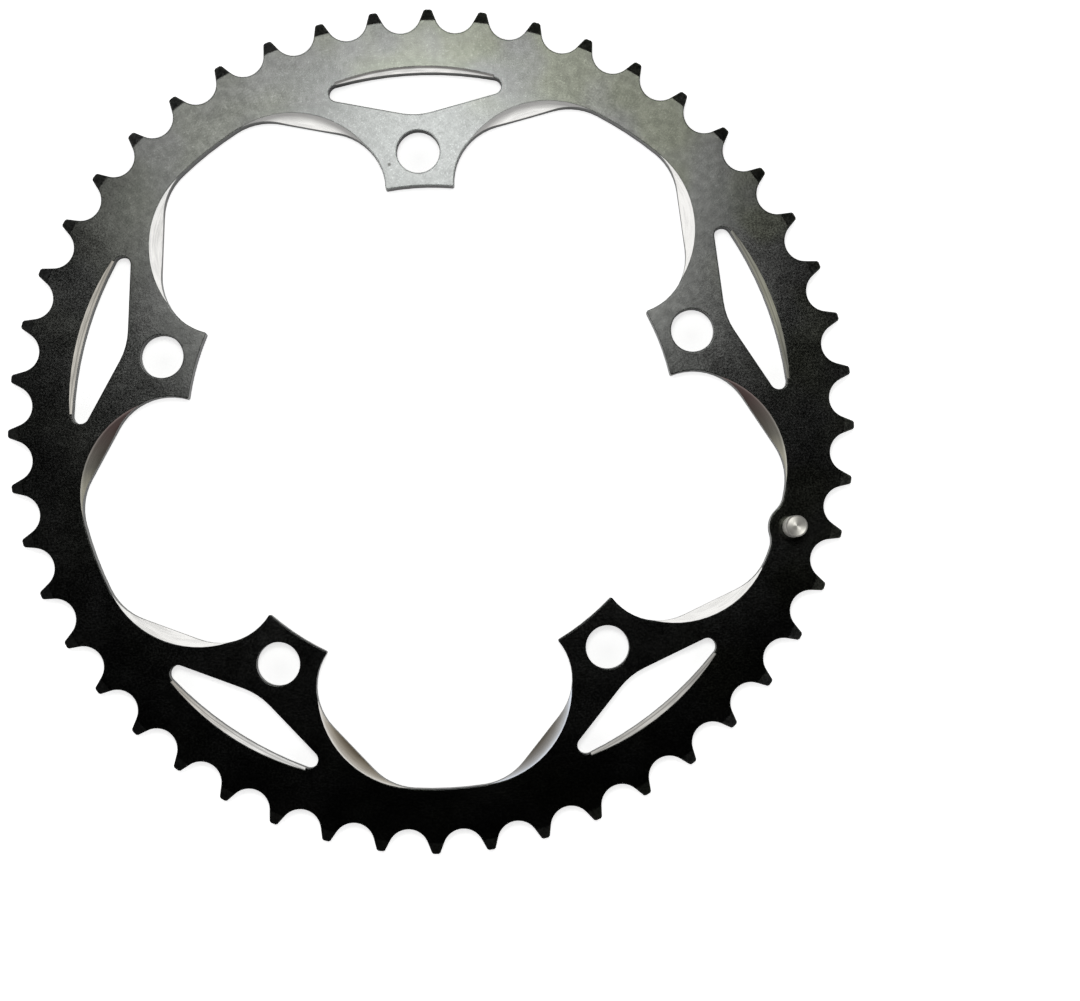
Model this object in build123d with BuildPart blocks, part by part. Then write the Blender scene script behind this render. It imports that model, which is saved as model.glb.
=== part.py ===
from build123d import *
from math import acos, asin, atan2, cos, degrees, hypot, radians, sin, sqrt, tan
import os

# A 48-tooth outer chainring for a five-arm crank, lying on its back with its outer face up.
# Z points out of the outer face, Y through the tab that stands at the top of the ring.
# The origin is the centre of the bolt circle, in the seating plane at the back.

# Chain and crank standards (mm, degrees)
teeth = 48
chain_pitch = 12.7
tab_count = 5
bolt_circle_diameter = 130.0
bolt_hole_diameter = 10.1
top_tab_angle = 90.0
gap_on_tab = 2

# Plate thicknesses
body_thickness = 4.0
tooth_thickness = 2.2

# Tooth form: each gap is a round seat with two straight flanks
root_depth = 4.3
tip_height = 1.35
seat_radius = 4.8
flank_angle = 24.0
tip_corner_length = 0.3

# Drop of the turned bevels at the tooth tips, and how far the step behind the teeth clears their roots
front_bevel_drop = 0.9
back_bevel_drop = 0.45
step_clearance = 1.0

# Inner opening: the rim is measured from the tooth roots, the tabs and arms from the bolt circle
rim_width = 9.4
tab_reach = 8.0
tab_half_width = 8.0
tab_corner_length = 0.3
flank_radius = 13.7
arm_rise = 1.1
arm_width = 7.0
arm_blend_radius = 14.0
arm_end_angle = 30.4

# Windows behind the tabs, set out a little further than the lobes
window_setback = 0.2
window_end_radius = 2.0
window_apex_radius = 16.0

# Bright bevels: shallow cuts along an arc, one on each window and two in each lobe
bevel_angle = 30.0
bevel_width = 3.4
window_bevel_radius = 60.0
window_bevel_depth = 1.4
window_bevel_end_gap = 7.7
lobe_bevel_radius = 22.6
lobe_bevel_clearance = 0.05
lobe_bevel_centre_angle = 29.5
lobe_bevel_first_angle = 35.0
lobe_bevel_arc = 97.0

# Chain drop pin and the boss that carries it, midway between two tabs
pin_angle = -18.0
pin_setback = 3.6
pin_diameter = 5.0
pin_height = 8.0
pin_edge = 0.3
pin_shank_diameter = 3.4
pin_rivet_diameter = 4.4
pin_rivet_depth = 0.8
pin_rivet_recess = 0.1
boss_radius = 5.5
boss_blend_radius = 5.0

# Overlap by which a cutting body passes the surface that it cuts, and the tolerance of a pick
cut_margin = 1.0
pick_tolerance = 0.01

# Derived sizes
gap_step = 360 / teeth
tab_step = 360 / tab_count
pitch_radius = chain_pitch / 2 / sin(radians(gap_step / 2))
root_radius = pitch_radius - root_depth
tip_radius = pitch_radius + tip_height
first_gap_angle = top_tab_angle + gap_on_tab * tab_step
tooth_back = body_thickness - tooth_thickness
step_inner_radius = root_radius - step_clearance - tooth_back
lobe_radius = root_radius - rim_width
window_outer_radius = lobe_radius + window_setback
bolt_circle_radius = bolt_circle_diameter / 2
tab_end_radius = bolt_circle_radius - tab_reach
arm_inner_apex = bolt_circle_radius + arm_rise
bevel_slope = tan(radians(bevel_angle))
pin_centre_radius = lobe_radius + pin_setback
pin_x = pin_centre_radius * cos(radians(pin_angle))
pin_y = pin_centre_radius * sin(radians(pin_angle))

# In the outlines below X runs outwards along the middle of a gap or tab, Y across it.

# One tooth gap, from its seat to past the tooth tips
seat_centre = root_radius + seat_radius
seat_end_x = seat_centre - seat_radius * sin(radians(flank_angle))
seat_end_y = seat_radius * cos(radians(flank_angle))
mouth_x = tip_radius + cut_margin
mouth_y = seat_end_y + (mouth_x - seat_end_x) * tan(radians(flank_angle))

# The bevels of the teeth start where the seats end
bevel_start = hypot(seat_end_x, seat_end_y)
bevel_far = 2 * tip_radius - bevel_start

with BuildSketch() as tooth_gap:
    with BuildLine():
        CenterArc((seat_centre, 0), seat_radius, 90 + flank_angle, 180 - 2 * flank_angle)
        Line((seat_end_x, seat_end_y), (mouth_x, mouth_y))
        Line((mouth_x, mouth_y), (mouth_x, -mouth_y))
        Line((mouth_x, -mouth_y), (seat_end_x, -seat_end_y))
    make_face()

# An arm rises from its apex over the tab and touches the blend that leads it into the lobe
blend_x = (lobe_radius - arm_blend_radius) * cos(radians(arm_end_angle))
blend_y = (lobe_radius - arm_blend_radius) * sin(radians(arm_end_angle))
blend_distance = hypot(blend_x - arm_inner_apex, blend_y)
arm_turn = acos(-arm_blend_radius / blend_distance) - atan2(blend_y, blend_x - arm_inner_apex)
arm_slope = tan(arm_turn)
arm_outer_apex = arm_inner_apex + arm_width / cos(arm_turn)

# One fifth of the inner opening: tab end, flank, arm, blend and half a lobe on each side
flank_y = tab_half_width + flank_radius
flank_x = arm_inner_apex + arm_slope * flank_y - flank_radius / cos(arm_turn)
flank_distance = hypot(flank_x, flank_y)
corner_turn = atan2(flank_y, flank_x) - acos(
    (tab_end_radius**2 + flank_distance**2 - flank_radius**2) / (2 * tab_end_radius * flank_distance)
)
corner_x = tab_end_radius * cos(corner_turn)
corner_y = tab_end_radius * sin(corner_turn)
flank_start = degrees(atan2(corner_y - flank_y, corner_x - flank_x))
arm_start = (flank_x + flank_radius * cos(arm_turn), flank_y - flank_radius * sin(arm_turn))
arm_end = (blend_x + arm_blend_radius * cos(arm_turn), blend_y - arm_blend_radius * sin(arm_turn))
arm_angle = degrees(arm_turn)
lobe_middle = tab_step / 2

with BuildSketch() as opening_fifth:
    with BuildLine():
        CenterArc((0, 0), tab_end_radius, 0, degrees(corner_turn))
        CenterArc((flank_x, flank_y), flank_radius, flank_start, -arm_angle - flank_start)
        Line(arm_start, arm_end)
        CenterArc((blend_x, blend_y), arm_blend_radius, -arm_angle, arm_angle + arm_end_angle)
        CenterArc((0, 0), lobe_radius, arm_end_angle, lobe_middle - arm_end_angle)
        Line(
            (lobe_radius * cos(radians(lobe_middle)), lobe_radius * sin(radians(lobe_middle))),
            (0, 0),
        )
        mirror(about=Plane.XZ)
    make_face()

# One window: a concentric outer edge and two inner edges parallel to the arms
window_tip_y = (
    -arm_outer_apex * arm_slope + sqrt(window_outer_radius**2 * (1 + arm_slope**2) - arm_outer_apex**2)
) / (1 + arm_slope**2)
window_tip_angle = degrees(asin(window_tip_y / window_outer_radius))
window_tip = (arm_outer_apex + arm_slope * window_tip_y, window_tip_y)

with BuildSketch() as window:
    with BuildLine():
        Line((arm_outer_apex, 0), window_tip)
        CenterArc((0, 0), window_outer_radius, 0, window_tip_angle)
        mirror(about=Plane.XZ)
    make_face()
    fillet(window.vertices().sort_by(Axis.X)[0], window_apex_radius)
    fillet(window.vertices().group_by(Axis.Y)[0], window_end_radius)
    fillet(window.vertices().group_by(Axis.Y)[-1], window_end_radius)


def bevel_cutter(front_radius, first_angle, arc):
    """Cutting body of a bevel whose front edge is an arc round the origin."""
    turn = radians(first_angle)
    profile_plane = Plane(
        origin=(0, 0, body_thickness),
        x_dir=(cos(turn), sin(turn), 0),
        z_dir=(sin(turn), -cos(turn), 0),
    )
    with BuildPart() as cutter:
        with BuildSketch(profile_plane):
            with BuildLine():
                Polyline(
                    (front_radius + cut_margin, cut_margin * bevel_slope),
                    (front_radius - bevel_width, -bevel_width * bevel_slope),
                    (front_radius - bevel_width, cut_margin * bevel_slope),
                    close=True,
                )
            make_face()
        revolve(axis=Axis.Z, revolution_arc=arc)
    return cutter.part


window_bevel_x = window_outer_radius + window_bevel_depth - window_bevel_radius
window_bevel_angle = degrees(asin((window_tip_y - window_bevel_end_gap) / window_bevel_radius))
window_bevel = bevel_cutter(window_bevel_radius, -window_bevel_angle, 2 * window_bevel_angle)
lobe_bevel_left = bevel_cutter(lobe_bevel_radius, lobe_bevel_first_angle, -lobe_bevel_arc)
lobe_bevel_right = bevel_cutter(lobe_bevel_radius, -lobe_bevel_first_angle, lobe_bevel_arc)
lobe_bevel_centre_radius = lobe_radius - lobe_bevel_clearance - lobe_bevel_radius
lobe_bevel_x = lobe_bevel_centre_radius * cos(radians(lobe_bevel_centre_angle))
lobe_bevel_y = lobe_bevel_centre_radius * sin(radians(lobe_bevel_centre_angle))

# The ring itself, cut from one plate
with BuildPart() as chainring:
    with BuildSketch() as plate:
        Circle(tip_radius)
        with PolarLocations(0, teeth, start_angle=first_gap_angle):
            add(tooth_gap.sketch, mode=Mode.SUBTRACT)
        chamfer([v for v in plate.vertices() if hypot(v.X, v.Y) > pitch_radius], tip_corner_length)
        with PolarLocations(0, tab_count, start_angle=top_tab_angle):
            add(opening_fifth.sketch, mode=Mode.SUBTRACT)
        chamfer(
            [v for v in plate.vertices() if hypot(v.X, v.Y) < tab_end_radius + pick_tolerance],
            tab_corner_length,
        )
        with PolarLocations(0, tab_count, start_angle=top_tab_angle):
            add(window.sketch, mode=Mode.SUBTRACT)
        with Locations((pin_x, pin_y)):
            Circle(boss_radius)
        fillet(
            [v for v in plate.vertices() if hypot(v.X - pin_x, v.Y - pin_y) < boss_radius + pick_tolerance],
            boss_blend_radius,
        )
    extrude(amount=body_thickness)

    # Turned work: the step behind the teeth, and the bevels on both sides of the tips
    with BuildSketch(Plane.XZ):
        with BuildLine():
            Polyline(
                (step_inner_radius - cut_margin, -cut_margin),
                (step_inner_radius + tooth_back, tooth_back),
                (bevel_start, tooth_back),
                (bevel_far, tooth_back + 2 * back_bevel_drop),
                (bevel_far, -cut_margin),
                close=True,
            )
        make_face()
        with BuildLine():
            Polyline(
                (bevel_start, body_thickness),
                (bevel_far, body_thickness - 2 * front_bevel_drop),
                (bevel_far, body_thickness + cut_margin),
                (bevel_start, body_thickness + cut_margin),
                close=True,
            )
        make_face()
    revolve(axis=Axis.Z, mode=Mode.SUBTRACT)

    # Bright bevels
    with PolarLocations(0, tab_count, start_angle=top_tab_angle):
        with Locations((window_bevel_x, 0)):
            add(window_bevel, mode=Mode.SUBTRACT)
        with Locations((lobe_bevel_x, lobe_bevel_y)):
            add(lobe_bevel_left, mode=Mode.SUBTRACT)
        with Locations((lobe_bevel_x, -lobe_bevel_y)):
            add(lobe_bevel_right, mode=Mode.SUBTRACT)

    # Bolt holes
    with PolarLocations(bolt_circle_radius, tab_count, start_angle=top_tab_angle):
        Hole(bolt_hole_diameter / 2)

# The chain drop pin: a turned pin pressed through the boss, its end spread in a countersink
rivet_start = pin_rivet_recess + pin_rivet_depth

with BuildPart() as chain_drop_pin:
    with BuildSketch(Plane.XZ):
        with BuildLine():
            Polyline(
                (0, pin_rivet_recess),
                (pin_rivet_diameter / 2, pin_rivet_recess),
                (pin_shank_diameter / 2, rivet_start),
                (pin_shank_diameter / 2, body_thickness),
                (pin_diameter / 2, body_thickness),
                (pin_diameter / 2, body_thickness + pin_height - pin_edge),
                (pin_diameter / 2 - pin_edge, body_thickness + pin_height),
                (0, body_thickness + pin_height),
                close=True,
            )
        make_face()
    revolve(axis=Axis.Z)

chain_drop_pin.part.locate(Location((pin_x, pin_y, 0)))
rivet_seat_slope = (pin_rivet_diameter - pin_shank_diameter) / 2 / pin_rivet_depth

with BuildPart() as pin_seat:
    with BuildSketch(Plane.XZ):
        with BuildLine():
            Polyline(
                (0, -cut_margin),
                (pin_shank_diameter / 2 + rivet_seat_slope * (rivet_start + cut_margin), -cut_margin),
                (pin_shank_diameter / 2, rivet_start),
                (pin_shank_diameter / 2, body_thickness + cut_margin),
                (0, body_thickness + cut_margin),
                close=True,
            )
        make_face()
    revolve(axis=Axis.Z)

with chainring:
    with Locations((pin_x, pin_y)):
        add(pin_seat.part, mode=Mode.SUBTRACT)

os.makedirs("parts", exist_ok=True)

chainring.part.label = "chainring"
export_step(chainring.part, "parts/chainring.step")

chain_drop_pin.part.label = "chain_drop_pin"
export_step(chain_drop_pin.part, "parts/chain_drop_pin.step")
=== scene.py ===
import math
from types import SimpleNamespace

import bpy
import numpy as np
from mathutils import Euler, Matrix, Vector


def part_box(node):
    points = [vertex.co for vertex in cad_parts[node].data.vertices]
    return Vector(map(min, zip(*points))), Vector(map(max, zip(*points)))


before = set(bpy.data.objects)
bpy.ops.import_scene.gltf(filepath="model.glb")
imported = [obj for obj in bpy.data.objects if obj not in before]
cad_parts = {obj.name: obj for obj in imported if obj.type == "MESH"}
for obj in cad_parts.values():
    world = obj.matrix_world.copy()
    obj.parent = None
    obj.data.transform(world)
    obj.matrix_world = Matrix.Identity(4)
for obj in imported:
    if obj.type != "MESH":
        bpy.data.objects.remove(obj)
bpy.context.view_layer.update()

bl_info = {
    "name": "Chainring finishes",
    "version": (1, 0, 0),
    "blender": (4, 5, 0),
    "location": "View3D > Sidebar > Chainring",
    "description": "Finishes, lights and camera of a black 48-tooth chainring with a chain drop pin",
    "category": "Object",
}

PIN_LOW, PIN_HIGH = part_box("chain_drop_pin")
RING_LOW, RING_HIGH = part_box("chainring")
PIN_AXIS = ((PIN_LOW.x + PIN_HIGH.x) / 2, (PIN_LOW.y + PIN_HIGH.y) / 2)

WHITE = (1.0, 1.0, 1.0)

# Range over which the value of a noise texture mostly runs
NOISE_LOW = 0.3
NOISE_HIGH = 0.7

# Scales of the textures in the black film, per metre
CLOUD_SCALE = 90.0
BLOTCH_SCALE = 560.0
GLINT_SCALE = 2600.0
PATCH_SCALE = 60.0

# How far the upward part of a normal may lie from that of the slope that a face is taken for
SLOPE_MARGIN = 0.03

# How far roughness swings to either side of its middle
ROUGHNESS_SWING = 0.03

# Length over which the tool lines change along the cut, on the ring and on the pin
RING_LINE_RUN = 0.006
PIN_LINE_RUN = 0.02

# The groove along the window bevels, a painted dark line with no cut in the mesh: how far it lies
# outside the wall, how far from its middle its painted shade starts and is full, and the share of the
# light of bare metal that it gives back
GROOVE_OUT = 0.0005
GROOVE_START = 0.00020
GROOVE_FULL = 0.00005
GROOVE_PAINTED_SHADE = 0.60

# Share of the light kept on the bevels: partly the thin film left on them, and partly painted shade
# that stands in for how much light each bevel reflects. Each stop is a place in metres and a colour,
# from left to right on the window bevels and from bottom to top on the lobe bevels.
WINDOW_FILM_AND_SHADE = (
    (-0.084, (0.72, 0.70, 0.65)),
    (-0.073, (0.57, 0.54, 0.49)),
    (-0.060, (0.66, 0.63, 0.59)),
    (-0.045, (1.0, 1.0, 1.0)),
    (0.018, (1.0, 1.0, 1.0)),
    (0.036, (0.60, 0.59, 0.57)),
    (0.051, (0.62, 0.61, 0.59)),
    (0.058, (0.42, 0.41, 0.40)),
    (0.0745, (0.25, 0.25, 0.22)),
    (0.081, (0.34, 0.34, 0.28)),
    (0.084, (0.18, 0.18, 0.165)),
)
LOBE_FILM_AND_SHADE = (
    (-0.067, (0.36, 0.33, 0.285)),
    (-0.052, (1.0, 1.0, 1.0)),
    (-0.030, (1.0, 1.0, 1.0)),
    (-0.018, (0.34, 0.33, 0.28)),
    (-0.010, (0.33, 0.32, 0.265)),
    (-0.005, (0.14, 0.135, 0.12)),
    (0.004, (0.068, 0.048, 0.046)),
    (0.020, (0.050, 0.032, 0.031)),
    (0.035, (1.0, 1.0, 1.0)),
)

# The same thin film and painted shade round the top tab, where the bevels fade into the face.
# Here each stop is a depth, as a share of the drop of the widest bevel, and a colour.
LOBE_VEIL_AND_SHADE = (
    (0.00, (0.36, 0.36, 0.36)),
    (0.22, (0.42, 0.42, 0.42)),
    (0.40, (0.66, 0.66, 0.66)),
    (0.54, (0.88, 0.88, 0.88)),
    (0.66, (1.0, 1.0, 1.0)),
)
WINDOW_VEIL_AND_SHADE = (
    (0.00, (0.22, 0.215, 0.21)),
    (0.12, (0.26, 0.255, 0.25)),
    (0.22, (1.0, 1.0, 1.0)),
)


# Sizes and colours that a user would change


class RingFinish(bpy.types.PropertyGroup):
    black: bpy.props.FloatVectorProperty(
        name="Anodised black",
        description="Colour that the black film gives back when lit and seen square on",
        default=(0.0400, 0.0408, 0.0400),
        min=0,
        max=1,
        subtype="COLOR",
    )
    olive: bpy.props.FloatVectorProperty(
        name="Olive cast",
        description="Cast of the film in patches over the rim",
        default=(0.975, 1.0, 0.85),
        min=0,
        max=1,
        subtype="COLOR",
    )
    black_roughness: bpy.props.FloatProperty(
        name="Black roughness",
        description="Roughness of the black film",
        default=0.155,
        min=0,
        max=1,
        subtype="FACTOR",
    )
    grain_size: bpy.props.FloatProperty(
        name="Grain size",
        description="Spacing of the pits that blasting left in the plate",
        default=0.00045,
        min=0.00005,
        unit="LENGTH",
    )
    grain_depth: bpy.props.FloatProperty(
        name="Grain depth",
        description="Depth of those pits",
        default=0.000003,
        min=0,
        unit="LENGTH",
    )
    bare: bpy.props.FloatVectorProperty(
        name="Bare aluminium",
        description="Colour of the bevels cut bright through the black film",
        default=(0.95, 0.94, 0.915),
        min=0,
        max=1,
        subtype="COLOR",
    )
    bare_roughness: bpy.props.FloatProperty(
        name="Bare roughness",
        description="Roughness of the bright bevels",
        default=0.17,
        min=0,
        max=1,
        subtype="FACTOR",
    )
    line_pitch: bpy.props.FloatProperty(
        name="Tool line pitch",
        description="Height between the lines that the cutter left along the bright bevels",
        default=0.00012,
        min=0.00001,
        unit="LENGTH",
    )
    line_depth: bpy.props.FloatProperty(
        name="Tool line depth",
        description="Depth of those lines",
        default=0.000004,
        min=0,
        unit="LENGTH",
    )
    tooth_slope: bpy.props.FloatProperty(
        name="Tooth slope",
        description="Angle of the bevels at the tooth tips to the face of the ring",
        default=math.radians(18.4),
        min=0,
        subtype="ANGLE",
    )
    bright_slope: bpy.props.FloatProperty(
        name="Bright slope",
        description="Angle of the bright bevels to the face of the ring",
        default=math.radians(30),
        min=0,
        subtype="ANGLE",
    )
    bright_reach: bpy.props.FloatProperty(
        name="Bright reach",
        description="Distance from the middle of the ring within which its bevels are bright",
        default=0.090,
        min=0,
        unit="LENGTH",
    )
    hollow_depth: bpy.props.FloatProperty(
        name="Hollow depth",
        description="Depth to which the bright bevels are hollow across their width",
        default=0.000008,
        min=0,
        unit="LENGTH",
    )
    hollow_drop: bpy.props.FloatProperty(
        name="Hollow drop",
        description="Height from the face of the ring to the deep edge of the widest bevel",
        default=0.0017,
        min=0.0001,
        unit="LENGTH",
    )
    window_wall: bpy.props.FloatProperty(
        name="Window wall",
        description="Distance of the outer walls of the windows from the middle of the ring",
        default=0.0836,
        min=0,
        unit="LENGTH",
    )
    edge_round: bpy.props.FloatProperty(
        name="Edge rounding",
        description="Radius to which blasting and tumbling rounded the edges",
        default=0.0004,
        min=0,
        unit="LENGTH",
    )
    nick_place: bpy.props.FloatVectorProperty(
        name="Nick place",
        description="Middle of the small dark nick in the top tab",
        default=(-0.0069, 0.0622, 0.004),
        subtype="TRANSLATION",
    )
    nick_size: bpy.props.FloatProperty(
        name="Nick size",
        description="Width of that nick",
        default=0.0006,
        min=0.00001,
        unit="LENGTH",
    )


class PinFinish(bpy.types.PropertyGroup):
    steel: bpy.props.FloatVectorProperty(
        name="Turned steel",
        description="Colour of the bare pin",
        default=(0.60, 0.585, 0.545),
        min=0,
        max=1,
        subtype="COLOR",
    )
    roughness: bpy.props.FloatProperty(
        name="Pin roughness",
        description="Roughness of the turned faces",
        default=0.39,
        min=0,
        max=1,
        subtype="FACTOR",
    )
    line_pitch: bpy.props.FloatProperty(
        name="Turning pitch",
        description="Spacing of the rings that the lathe left on the pin",
        default=0.00022,
        min=0.00001,
        unit="LENGTH",
    )
    line_depth: bpy.props.FloatProperty(
        name="Turning depth",
        description="Depth of those rings",
        default=0.0000015,
        min=0,
        unit="LENGTH",
    )
    line_spread: bpy.props.FloatProperty(
        name="Turning spread",
        description="How much wider the rings spread light across them than along them",
        default=0.76,
        min=0,
        max=1,
        subtype="FACTOR",
    )
    edge_round: bpy.props.FloatProperty(
        name="Edge rounding",
        description="Radius of the pin's edges",
        default=0.0001,
        min=0,
        unit="LENGTH",
    )


class StudioSetup(bpy.types.PropertyGroup):
    camera_place: bpy.props.FloatVectorProperty(
        name="Camera place",
        description="Where the camera stands above the ring",
        default=(0.01521, -0.03662, 0.59253),
        subtype="TRANSLATION",
    )
    camera_turn: bpy.props.FloatVectorProperty(
        name="Camera turn",
        description="How the camera is turned from looking straight down",
        default=(math.radians(1.8717), math.radians(-0.7867), math.radians(-2.9181)),
        subtype="EULER",
    )
    focal_length: bpy.props.FloatProperty(
        name="Focal length",
        description="Focal length on a 36 mm wide sensor",
        default=84.496,
        min=1,
        unit="CAMERA",
    )
    floor_size: bpy.props.FloatProperty(
        name="Floor size",
        description="Width of the white floor",
        default=6.0,
        min=1,
        unit="LENGTH",
    )
    floor_lift: bpy.props.FloatProperty(
        name="Floor lift",
        description="White added to the floor as the camera sees it",
        default=0.66,
        min=0,
        max=1,
        subtype="FACTOR",
    )
    key_place: bpy.props.FloatVectorProperty(
        name="Key place",
        description="Middle of the soft lamp over the top of the ring",
        default=(-0.018, 0.222, 0.891),
        subtype="TRANSLATION",
    )
    core_width: bpy.props.FloatProperty(
        name="Core width",
        description="Width of the bright core of that lamp",
        default=0.11,
        min=0.01,
        unit="LENGTH",
    )
    core_power: bpy.props.FloatProperty(
        name="Core power",
        description="Power of the core",
        default=0.66,
        min=0,
        unit="POWER",
    )
    glow_width: bpy.props.FloatProperty(
        name="Glow width",
        description="Width of the soft glow round the core",
        default=0.36,
        min=0.01,
        unit="LENGTH",
    )
    glow_power: bpy.props.FloatProperty(
        name="Glow power",
        description="Power of the glow",
        default=2.05,
        min=0,
        unit="POWER",
    )
    core_colour: bpy.props.FloatVectorProperty(
        name="Core colour",
        description="Colour of the core",
        default=(0.98, 1.0, 1.0),
        min=0,
        max=1,
        subtype="COLOR",
    )
    glow_colour: bpy.props.FloatVectorProperty(
        name="Glow colour",
        description="Colour of the glow",
        default=(1.0, 1.0, 0.97),
        min=0,
        max=1,
        subtype="COLOR",
    )
    room_level: bpy.props.FloatProperty(
        name="Room level",
        description="Brightness of the white room round the ring",
        default=1.0,
        min=0,
        max=1,
        subtype="FACTOR",
    )
    room_rise: bpy.props.FloatProperty(
        name="Room rise",
        description="Angle over the floor at which the white walls give way to the dark ceiling",
        default=math.radians(41.3),
        min=0,
        subtype="ANGLE",
    )
    ceiling_lean: bpy.props.FloatProperty(
        name="Ceiling lean",
        description="Angle by which the dark ceiling leans to the far side of the ring",
        default=math.radians(4),
        subtype="ANGLE",
    )


# Small tools for node trees


def add_node(tree, kind, inputs=None, **settings):
    """One node with its settings. An input is a value, or the output that feeds it."""
    made = tree.nodes.new(kind)
    for name, value in settings.items():
        setattr(made, name, value)
    for name, value in (inputs or {}).items():
        if isinstance(value, bpy.types.NodeSocket):
            tree.links.new(value, made.inputs[name])
        else:
            made.inputs[name].default_value = value
    return made


def reckon(tree, operation, *values):
    """The output of one Math node."""
    return add_node(tree, "ShaderNodeMath", dict(enumerate(values)), operation=operation).outputs[0]


def product(tree, first, *others):
    """All the values multiplied."""
    for other in others:
        first = reckon(tree, "MULTIPLY", first, other)
    return first


def smooth_range(tree, value, start, end, low=0.0, high=1.0):
    """Value eased from low at start to high at end."""
    return add_node(
        tree,
        "ShaderNodeMapRange",
        {"Value": value, "From Min": start, "From Max": end, "To Min": low, "To Max": high},
        interpolation_type="SMOOTHSTEP",
    ).outputs[0]


def straight_range(tree, value, start, end):
    """Value turned into a share, 0 at start and 1 at end, in a straight line."""
    return add_node(
        tree, "ShaderNodeMapRange", {"Value": value, "From Min": start, "From Max": end}
    ).outputs[0]


def varied(tree, texture, low, high):
    """A noise texture turned into a value that varies from low to high."""
    return smooth_range(tree, texture, NOISE_LOW, NOISE_HIGH, low, high)


def mix_colour(tree, share, first, second, blend="MIX"):
    """The colour output of one Mix node."""
    first, second = (
        side if isinstance(side, bpy.types.NodeSocket) else (*side, 1.0) for side in (first, second)
    )
    made = add_node(
        tree, "ShaderNodeMix", {0: share, 6: first, 7: second}, data_type="RGBA", blend_type=blend
    )
    return made.outputs[2]


def tinted(tree, first, second):
    """Two colours multiplied."""
    return mix_colour(tree, 1.0, first, second, "MULTIPLY")


def mix_value(tree, share, first, second):
    """The number output of one Mix node."""
    return add_node(tree, "ShaderNodeMix", {0: share, 2: first, 3: second}, data_type="FLOAT").outputs[0]


def mix_vector(tree, share, first, second):
    """The vector output of one Mix node."""
    return add_node(tree, "ShaderNodeMix", {0: share, 4: first, 5: second}, data_type="VECTOR").outputs[1]


def noise(tree, place, scale, detail, roughness=0.6):
    """The value of a Noise Texture."""
    inputs = {"Vector": place, "Scale": scale, "Detail": detail, "Roughness": roughness}
    return add_node(tree, "ShaderNodeTexNoise", inputs).outputs[0]


def grey(tree, value):
    """A value as a grey colour, free to pass 1."""
    return add_node(tree, "ShaderNodeCombineColor", {0: value, 1: value, 2: value}).outputs[0]


def tone_ramp(tree, value, tones):
    """The colour output of a Color Ramp whose stops are given as pairs of value and colour."""
    first, last = tones[0][0], tones[-1][0]
    made = add_node(tree, "ShaderNodeValToRGB", {0: straight_range(tree, value, first, last)})
    stops = made.color_ramp.elements
    while len(stops) < len(tones):
        stops.new(0.5)
    for stop, (place, colour) in zip(stops, tones):
        stop.position = (place - first) / (last - first)
        stop.color = (*colour, 1.0)
    return made.outputs[0]


def read_spot(tree, place):
    """Where a spot lies: its coordinates, its distance from the Z axis and how squarely it faces up."""
    x, y, z = add_node(tree, "ShaderNodeSeparateXYZ", {0: place}).outputs
    away = reckon(tree, "SQRT", reckon(tree, "ADD", product(tree, x, x), product(tree, y, y)))
    facing = add_node(tree, "ShaderNodeNewGeometry").outputs["True Normal"]
    upward = add_node(tree, "ShaderNodeSeparateXYZ", {0: facing}).outputs[2]
    return SimpleNamespace(place=place, x=x, y=y, z=z, away=away, upward=upward)


def at_slope(tree, spot, slope):
    """1 on faces that lie at this angle to the face of the ring, 0 on all others."""
    return reckon(tree, "COMPARE", spot.upward, math.cos(slope), SLOPE_MARGIN)


def start_group(name, inputs, outputs):
    """An empty node group with the named sockets, and its two end nodes."""
    tree = bpy.data.node_groups.new(name, "ShaderNodeTree")
    for label, kind, default in inputs:
        socket = tree.interface.new_socket(label, in_out="INPUT", socket_type=kind)
        if default is not None:
            socket.default_value = default
    for label, kind in outputs:
        tree.interface.new_socket(label, in_out="OUTPUT", socket_type=kind)
    return tree, tree.nodes.new("NodeGroupInput").outputs, tree.nodes.new("NodeGroupOutput").inputs


def placed(tree, group, inputs):
    """The outputs of a node group placed in a material with its own values."""
    return add_node(tree, "ShaderNodeGroup", inputs, node_tree=group).outputs


# Effects shared by the finishes


def tool_lines():
    """Fine lines left by a cutter: noise stretched along the cut, with Across counting over the lines."""
    name = "Tool lines"
    if name in bpy.data.node_groups:
        return bpy.data.node_groups[name]
    tree, given, made = start_group(
        name,
        [
            ("Place", "NodeSocketVector", None),
            ("Across", "NodeSocketFloat", 0.0),
            ("Pitch", "NodeSocketFloat", 0.0001),
            ("Run", "NodeSocketFloat", 0.006),
        ],
        [("Height", "NodeSocketFloat"), ("Shade", "NodeSocketFloat")],
    )
    place = add_node(tree, "ShaderNodeSeparateXYZ", {0: given["Place"]}).outputs
    along_x = reckon(tree, "DIVIDE", place[0], given["Run"])
    along_y = reckon(tree, "DIVIDE", place[1], given["Run"])
    count = reckon(tree, "DIVIDE", given["Across"], given["Pitch"])
    fine = add_node(tree, "ShaderNodeCombineXYZ", {0: along_x, 1: along_y, 2: count}).outputs[0]
    lines = noise(tree, fine, 1.0, 3.0)

    # Bands that are four lines wide
    quarter = product(tree, count, 0.25)
    wide = add_node(tree, "ShaderNodeCombineXYZ", {0: along_x, 1: along_y, 2: quarter}).outputs[0]
    bands = noise(tree, wide, 1.0, 1.0, 0.5)
    tree.links.new(lines, made["Height"])
    tree.links.new(smooth_range(tree, reckon(tree, "ADD", lines, bands), 0.75, 1.25), made["Shade"])
    return tree


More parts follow.
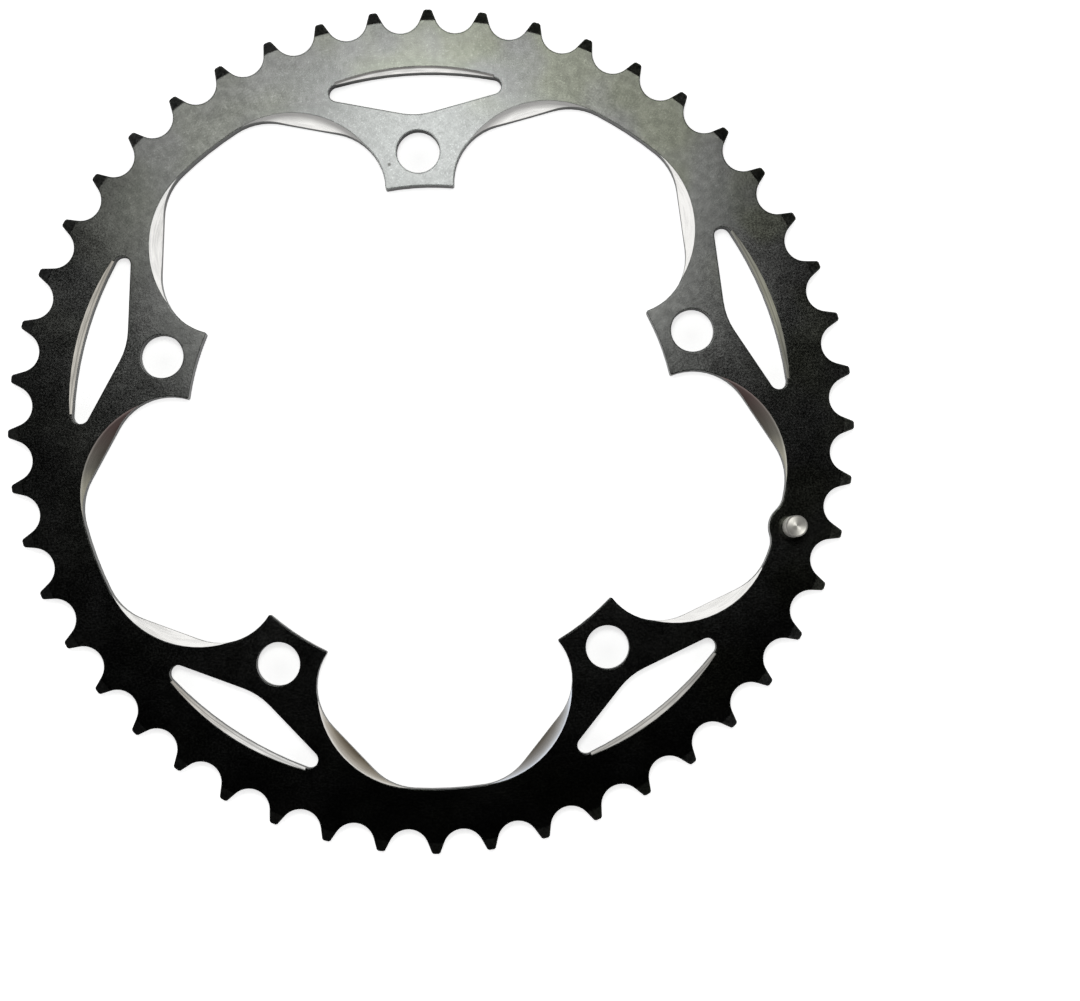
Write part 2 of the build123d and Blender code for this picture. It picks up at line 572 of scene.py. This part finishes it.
def rounded_edges():
    """Edges rounded for the light, and a mask of the strip beside them."""
    name = "Rounded edges"
    if name in bpy.data.node_groups:
        return bpy.data.node_groups[name]
    tree, given, made = start_group(
        name,
        [("Radius", "NodeSocketFloat", 0.0001)],
        [("Normal", "NodeSocketVector"), ("Edge", "NodeSocketFloat")],
    )
    rounded = add_node(tree, "ShaderNodeBevel", {"Radius": given["Radius"]}, samples=4).outputs[0]
    flat = add_node(tree, "ShaderNodeNewGeometry").outputs["True Normal"]
    lined_up = add_node(
        tree, "ShaderNodeVectorMath", {0: rounded, 1: flat}, operation="DOT_PRODUCT"
    ).outputs["Value"]
    tree.links.new(rounded, made["Normal"])
    tree.links.new(smooth_range(tree, lined_up, 0.995, 0.93), made["Edge"])
    return tree


def start_material(name):
    """A material with an empty node tree, its Principled BSDF and the Object coordinates."""
    material = bpy.data.materials.new(name)
    material.use_nodes = True
    tree = material.node_tree
    tree.nodes.clear()
    shader = add_node(tree, "ShaderNodeBsdfPrincipled")
    add_node(tree, "ShaderNodeOutputMaterial", {"Surface": shader.outputs[0]})
    place = add_node(tree, "ShaderNodeTexCoord").outputs["Object"]
    return material, tree, shader, place


def dress(node_name, material):
    """Gives a CAD node one material in place of its own."""
    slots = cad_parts[node_name].data.materials
    for index in range(len(slots)):
        slots[index] = material
    if not slots:
        slots.append(material)


class CHAINRING_OT_finish_ring(bpy.types.Operator):
    """Blasted black plate with bright bevels cut through the film"""

    bl_idname = "chainring.finish_ring"
    bl_label = "Finish the ring"

    def execute(self, context):
        finish = context.scene.chainring_ring
        material, tree, shader, place = start_material("Anodised plate")
        spot = read_spot(tree, place)
        edges = placed(tree, rounded_edges(), {"Radius": finish.edge_round})
        sunk = straight_range(tree, spot.z, RING_HIGH.z, RING_HIGH.z - finish.hollow_drop)

        # Bright bevels are the slopes of their own angle within reach of the middle
        within = reckon(tree, "LESS_THAN", spot.away, finish.bright_reach)
        bright = product(tree, at_slope(tree, spot, finish.bright_slope), within)

        # The film, with pits from blasting, clouds of gloss and painted light by place
        pits = noise(tree, place, 1 / finish.grain_size, 2.0)
        clouds = noise(tree, place, CLOUD_SCALE, 4.0)
        tone_and_painted_light = self.film_tone_and_painted_light(tree, finish, spot, pits, clouds)
        film = self.film_colour(tree, finish, spot, tone_and_painted_light, edges["Edge"])
        smoothest = finish.black_roughness - ROUGHNESS_SWING
        roughest = finish.black_roughness + ROUGHNESS_SWING
        half_swing = ROUGHNESS_SWING / 2
        film_roughness = reckon(
            tree,
            "ADD",
            varied(tree, clouds, -half_swing, half_swing),
            varied(tree, pits, smoothest, roughest),
        )

        # The nick: a small dent, darker than the film
        apart = add_node(
            tree, "ShaderNodeVectorMath", {0: place, 1: tuple(finish.nick_place)}, operation="DISTANCE"
        ).outputs["Value"]
        nick = smooth_range(tree, apart, 0.9 * finish.nick_size, 0.2 * finish.nick_size)
        film_height = reckon(tree, "SUBTRACT", pits, product(tree, nick, 2.0))
        film_bump = add_node(
            tree,
            "ShaderNodeBump",
            {"Height": film_height, "Distance": finish.grain_depth, "Normal": edges["Normal"]},
        ).outputs[0]

        # The bevels: lines of the cutter, which follow the cut at one height, on a face that is
        # hollow by 4 s (1 - s) of the hollow depth, where s is the share of the drop
        lines = placed(
            tree,
            tool_lines(),
            {"Place": place, "Across": spot.z, "Pitch": finish.line_pitch, "Run": RING_LINE_RUN},
        )
        metal = self.metal_colour(tree, finish, spot, lines["Shade"], sunk)
        smoothest = finish.bare_roughness - ROUGHNESS_SWING
        roughest = finish.bare_roughness + ROUGHNESS_SWING
        metal_roughness = smooth_range(tree, lines["Shade"], 0.0, 1.0, roughest, smoothest)
        hollow = product(tree, sunk, reckon(tree, "SUBTRACT", 1.0, sunk), 4 * finish.hollow_depth)
        ridges = product(tree, lines["Height"], finish.line_depth)
        metal_height = reckon(tree, "SUBTRACT", ridges, hollow)
        metal_bump = add_node(
            tree, "ShaderNodeBump", {"Height": metal_height, "Distance": 1.0}
        ).outputs[0]

        nick_dark = (0.016, 0.016, 0.015)
        colour = mix_colour(tree, nick, mix_colour(tree, bright, film, metal), nick_dark)
        tree.links.new(colour, shader.inputs["Base Color"])
        shader.inputs["Metallic"].default_value = 1.0
        roughness = mix_value(tree, bright, film_roughness, metal_roughness)
        tree.links.new(roughness, shader.inputs["Roughness"])
        tree.links.new(mix_vector(tree, bright, film_bump, metal_bump), shader.inputs["Normal"])
        dress("chainring", material)
        return {"FINISHED"}

    def film_tone_and_painted_light(self, tree, finish, spot, pits, clouds):
        """Factor on the colour of the black film, from its textures, with painted light by its place on
        the ring.
        """
        blotches = noise(tree, spot.place, BLOTCH_SCALE, 4.0)
        glints = noise(tree, spot.place, GLINT_SCALE, 1.0)

        # Painted highlight: darker at the bottom, brightest over the middle and a little darker again at
        # the top
        tone_and_painted_light = product(
            tree,
            smooth_range(tree, spot.y, -0.10, -0.02, 0.9, 1.25),
            smooth_range(tree, spot.y, 0.018, 0.048, 1.0, 0.8),
            varied(tree, pits, 0.91, 1.10),
            varied(tree, clouds, 0.90, 1.10),
            varied(tree, blotches, 0.91, 1.09),
            smooth_range(tree, glints, 0.60, 0.72, 0.99, 1.30),
        )

        # The flanks, to the left and right of the middle, are more speckled
        speckle = product(tree, varied(tree, pits, 0.92, 1.09), varied(tree, blotches, 0.93, 1.08))
        flanks = smooth_range(tree, reckon(tree, "ABSOLUTE", spot.x), 0.020, 0.050)
        tone_and_painted_light = product(tree, tone_and_painted_light, mix_value(tree, flanks, 1.0, speckle))

        # Painted light on the bevels at the tips: darker at the lower left and brighter at the upper
        # right
        across = reckon(tree, "ADD", spot.x, spot.y)
        tip_painted_light = smooth_range(tree, across, -0.15, 0.09, 0.3, 2.4)
        on_tips = at_slope(tree, spot, finish.tooth_slope)
        return product(tree, tone_and_painted_light, mix_value(tree, on_tips, 1.0, tip_painted_light))

    def film_colour(self, tree, finish, spot, tone_and_painted_light, edge):
        """The black film, with an olive cast in patches over the rim and painted shade along its edges.
        """
        patches = smooth_range(tree, noise(tree, spot.place, PATCH_SCALE, 1.0), 0.38, 0.58)
        on_rim = smooth_range(tree, spot.away, 0.070, 0.086)
        to_right = smooth_range(tree, spot.x, -0.06, 0.03, 0.35, 1.0)
        cast = mix_colour(tree, product(tree, patches, on_rim, to_right), WHITE, finish.olive)
        film = tinted(tree, tinted(tree, finish.black, cast), grey(tree, tone_and_painted_light))
        # Painted shade: the strip along every edge is darkened towards black
        edge_painted_shade = (0.004, 0.004, 0.004)
        return mix_colour(tree, product(tree, edge, 0.5), film, edge_painted_shade)

    def metal_colour(self, tree, finish, spot, shade, sunk):
        """Bare metal, darker in its tool lines and with painted shade in the groove, seen through the
        thin film and painted shade of the bevels.
        """
        wall_margin = 0.0001
        on_window = reckon(tree, "GREATER_THAN", spot.away, finish.window_wall - wall_margin)
        deepest = mix_value(tree, on_window, 0.94, 0.78)
        metal = tinted(tree, finish.bare, grey(tree, mix_value(tree, shade, deepest, 1.0)))

        # The groove's painted shade is faint on the top window, the only one near the middle from left to
        # right
        groove_line = finish.window_wall + GROOVE_OUT
        gap = reckon(tree, "ABSOLUTE", reckon(tree, "SUBTRACT", spot.away, groove_line))
        beside = smooth_range(tree, reckon(tree, "ABSOLUTE", spot.x), 0.020, 0.035, 0.1, 1.0)
        groove_painted_shade = product(tree, smooth_range(tree, gap, GROOVE_START, GROOVE_FULL), beside)
        metal = mix_colour(tree, groove_painted_shade, metal, [GROOVE_PAINTED_SHADE * part for part in finish.bare])
        return tinted(tree, metal, self.thin_film_and_painted_shade(tree, spot, sunk, on_window))

    def thin_film_and_painted_shade(self, tree, spot, sunk, on_window):
        """Share of the light that passes the film left where the cutter only brushed the metal, with
        painted shade set by place and depth.
        """
        # Painted shade: the tone of each bevel is set by its place on the ring
        window_film_and_shade = tone_ramp(tree, spot.x, WINDOW_FILM_AND_SHADE)
        lobe_film_and_shade = tone_ramp(tree, spot.y, LOBE_FILM_AND_SHADE)

        # On the lobe bevels it is painted darker with depth, most of all at the bottom of the ring, and
        # lightest along the face: painted shade. At the even depth it has the tone of its ramp.
        even_depth = 0.38
        growth = smooth_range(tree, spot.y, -0.055, -0.035, 1.8, 0.3)
        deeper = reckon(tree, "SUBTRACT", sunk, even_depth)
        depth_shade = product(
            tree,
            reckon(tree, "MULTIPLY_ADD", deeper, growth, 1.0),
            smooth_range(tree, sunk, 0.04, 0.16, 0.7, 1.0),
        )
        lobe_film_and_shade = add_node(tree, "ShaderNodeGamma", {"Color": lobe_film_and_shade, "Gamma": depth_shade}).outputs[0]

        # It is cooler at the lower right
        lower_right = product(
            tree,
            smooth_range(tree, spot.x, -0.015, 0.015),
            smooth_range(tree, spot.y, -0.052, -0.062),
        )
        cool = (0.92, 1.0, 1.16)
        lobe_film_and_shade = tinted(tree, lobe_film_and_shade, mix_colour(tree, lower_right, WHITE, cool))

        # Round the top tab the film and its painted shade follow depth alone
        on_top = smooth_range(tree, spot.y, 0.060, 0.068)
        by_place = mix_colour(tree, on_window, lobe_film_and_shade, window_film_and_shade)
        lobe_veil_and_shade = tone_ramp(tree, sunk, LOBE_VEIL_AND_SHADE)
        window_veil_and_shade = tone_ramp(tree, sunk, WINDOW_VEIL_AND_SHADE)
        by_depth = mix_colour(tree, on_window, lobe_veil_and_shade, window_veil_and_shade)
        return mix_colour(tree, on_top, by_place, by_depth)


class CHAINRING_OT_finish_pin(bpy.types.Operator):
    """Bare turned steel with the rings that the lathe left"""

    bl_idname = "chainring.finish_pin"
    bl_label = "Finish the chain drop pin"

    def execute(self, context):
        finish = context.scene.chainring_pin
        material, tree, shader, place = start_material("Turned pin")
        centred = add_node(
            tree, "ShaderNodeVectorMath", {0: place, 1: (*PIN_AXIS, 0.0)}, operation="SUBTRACT"
        ).outputs[0]
        spot = read_spot(tree, centred)
        on_end = reckon(tree, "GREATER_THAN", reckon(tree, "ABSOLUTE", spot.upward), 0.5)
        across = mix_value(tree, on_end, spot.z, spot.away)
        lines = placed(
            tree,
            tool_lines(),
            {"Place": centred, "Across": across, "Pitch": finish.line_pitch, "Run": PIN_LINE_RUN},
        )

        # The sides of the fine grooves lean in and out on the end, and up and down on the shank
        level = add_node(
            tree, "ShaderNodeVectorMath", {0: centred, 1: (1.0, 1.0, 0.0)}, operation="MULTIPLY"
        ).outputs[0]
        outward = add_node(tree, "ShaderNodeVectorMath", {0: level}, operation="NORMALIZE").outputs[0]
        tree.links.new(mix_vector(tree, on_end, (0.0, 0.0, 1.0), outward), shader.inputs["Tangent"])
        shader.inputs["Anisotropic"].default_value = finish.line_spread

        # The steel is a little darker in the lines; the dark ring along the rim of the end is painted
        # shade
        in_lines = [0.9 * part for part in finish.steel]
        colour = mix_colour(tree, lines["Shade"], in_lines, finish.steel)
        on_rim = product(tree, smooth_range(tree, spot.away, 0.0021, 0.0023), on_end)
        colour = mix_colour(tree, on_rim, colour, [0.45 * part for part in finish.steel])
        tree.links.new(colour, shader.inputs["Base Color"])
        shader.inputs["Metallic"].default_value = 1.0
        smoothest = finish.roughness - ROUGHNESS_SWING
        roughest = finish.roughness + 0.05
        roughness = smooth_range(tree, lines["Shade"], 0.0, 1.0, roughest, smoothest)
        tree.links.new(roughness, shader.inputs["Roughness"])
        edges = placed(tree, rounded_edges(), {"Radius": finish.edge_round})
        bump = add_node(
            tree,
            "ShaderNodeBump",
            {"Height": lines["Height"], "Distance": finish.line_depth, "Normal": edges["Normal"]},
        ).outputs[0]
        tree.links.new(bump, shader.inputs["Normal"])
        dress("chain_drop_pin", material)
        return {"FINISHED"}


def flat_grid(size, cells, height):
    """Points (x, y, height) on a square grid round the origin, x and y each from -size/2 to size/2."""
    steps = np.linspace(-size / 2, size / 2, cells + 1)
    x, y = np.meshgrid(steps, steps, indexing="ij")
    points = np.stack([x, y, np.full_like(x, height)], axis=-1).reshape(-1, 3)
    row, column = np.meshgrid(np.arange(cells), np.arange(cells), indexing="ij")
    corner = (row * (cells + 1) + column).ravel()
    faces = np.stack([corner, corner + cells + 1, corner + cells + 2, corner + 1], axis=-1)
    return points, faces


def add_lamp(name, place, width, power, colour, target):
    """A round soft lamp that faces the target."""
    light = bpy.data.lights.new(name, "AREA")
    light.shape = "DISK"
    light.size = width
    light.energy = power
    light.color = colour
    lamp = bpy.data.objects.new(name, light)
    lamp.location = place
    lamp.rotation_euler = (Vector(target) - Vector(place)).to_track_quat("-Z", "Y").to_euler()
    bpy.context.scene.collection.objects.link(lamp)


class CHAINRING_OT_set_stage(bpy.types.Operator):
    """White floor, white room with a dark ceiling, soft lamp and the camera over the ring"""

    bl_idname = "chainring.set_stage"
    bl_label = "Set the stage"

    def execute(self, context):
        setup = context.scene.chainring_studio
        self.lay_floor(setup)
        self.light_room(context, setup)
        self.hang_lamps(setup)
        self.place_camera(context, setup)
        context.scene.view_settings.view_transform = "Standard"
        return {"FINISHED"}

    def lay_floor(self, setup):
        """A white floor whose lift of white only the camera sees, so shadows stay."""
        gap_under_ring = 0.00005
        points, faces = flat_grid(setup.floor_size, 1, RING_LOW.z - gap_under_ring)
        mesh = bpy.data.meshes.new("floor")
        mesh.from_pydata(points.tolist(), [], faces.tolist())
        floor = bpy.data.objects.new("floor", mesh)
        bpy.context.scene.collection.objects.link(floor)
        material = bpy.data.materials.new("White floor")
        material.use_nodes = True
        tree = material.node_tree
        tree.nodes.clear()
        paper_white = (0.86, 0.86, 0.86, 1.0)
        paper = add_node(tree, "ShaderNodeBsdfDiffuse", {"Color": paper_white}).outputs[0]
        seen = add_node(tree, "ShaderNodeLightPath").outputs["Is Camera Ray"]
        strength = product(tree, seen, setup.floor_lift)
        lift = add_node(
            tree, "ShaderNodeEmission", {"Color": (*WHITE, 1.0), "Strength": strength}
        ).outputs[0]
        both = add_node(tree, "ShaderNodeAddShader", {0: paper, 1: lift}).outputs[0]
        add_node(tree, "ShaderNodeOutputMaterial", {"Surface": both})
        mesh.materials.append(material)

    def hang_lamps(self, setup):
        """The key lamp over the top of the ring: a bright core in a wide soft glow."""
        over_tab = (0.0, 0.067, 0.0)
        for name, width, power, colour in (
            ("Key core", setup.core_width, setup.core_power, setup.core_colour),
            ("Key glow", setup.glow_width, setup.glow_power, setup.glow_colour),
        ):
            add_lamp(name, setup.key_place, width, power, colour, over_tab)

    def light_room(self, context, setup):
        """A white room that gives way to a dark ceiling over a narrow band."""
        world = bpy.data.worlds.new("Room")
        world.use_nodes = True
        tree = world.node_tree
        tree.nodes.clear()
        way = add_node(tree, "ShaderNodeTexCoord").outputs["Generated"]
        lean = (0.0, math.sin(setup.ceiling_lean), math.cos(setup.ceiling_lean))
        height = add_node(
            tree, "ShaderNodeVectorMath", {0: way, 1: lean}, operation="DOT_PRODUCT"
        ).outputs["Value"]
        edge = math.sin(setup.room_rise)
        half_band = 0.015
        level = smooth_range(tree, height, edge - half_band, edge + half_band, setup.room_level, 0.0)
        light = add_node(tree, "ShaderNodeBackground", {"Color": level, "Strength": 1.0})
        add_node(tree, "ShaderNodeOutputWorld", {"Surface": light.outputs[0]})
        context.scene.world = world

    def place_camera(self, context, setup):
        """The camera as it stood for the photograph."""
        lens = bpy.data.cameras.new("Camera")
        lens.sensor_width = 36.0
        lens.lens = setup.focal_length
        lens.clip_start = 0.01
        lens.clip_end = 20.0
        camera = bpy.data.objects.new("Camera", lens)
        camera.location = setup.camera_place
        camera.rotation_euler = Euler(setup.camera_turn, "XYZ")
        context.scene.collection.objects.link(camera)
        context.scene.camera = camera


class CHAINRING_PT_sidebar(bpy.types.Panel):
    """Lists the pieces of the chainring and the stage"""

    bl_label = "Chainring"
    bl_space_type = "VIEW_3D"
    bl_region_type = "UI"
    bl_category = "Chainring"

    def draw(self, context):
        column = self.layout.column()
        for step in OPERATORS:
            column.operator(step.bl_idname)
        scene = context.scene
        for group in (scene.chainring_ring, scene.chainring_pin, scene.chainring_studio):
            for name in group.__annotations__:
                column.prop(group, name)


OPERATORS = (CHAINRING_OT_finish_ring, CHAINRING_OT_finish_pin, CHAINRING_OT_set_stage)
CLASSES = (RingFinish, PinFinish, StudioSetup, *OPERATORS, CHAINRING_PT_sidebar)


def register():
    for made in CLASSES:
        bpy.utils.register_class(made)
    bpy.types.Scene.chainring_ring = bpy.props.PointerProperty(type=RingFinish)
    bpy.types.Scene.chainring_pin = bpy.props.PointerProperty(type=PinFinish)
    bpy.types.Scene.chainring_studio = bpy.props.PointerProperty(type=StudioSetup)


def unregister():
    del bpy.types.Scene.chainring_studio
    del bpy.types.Scene.chainring_pin
    del bpy.types.Scene.chainring_ring
    for made in reversed(CLASSES):
        bpy.utils.unregister_class(made)


def main():
    register()
    bpy.ops.chainring.finish_ring()
    bpy.ops.chainring.finish_pin()
    bpy.ops.chainring.set_stage()


if __name__ == "__main__":
    main()
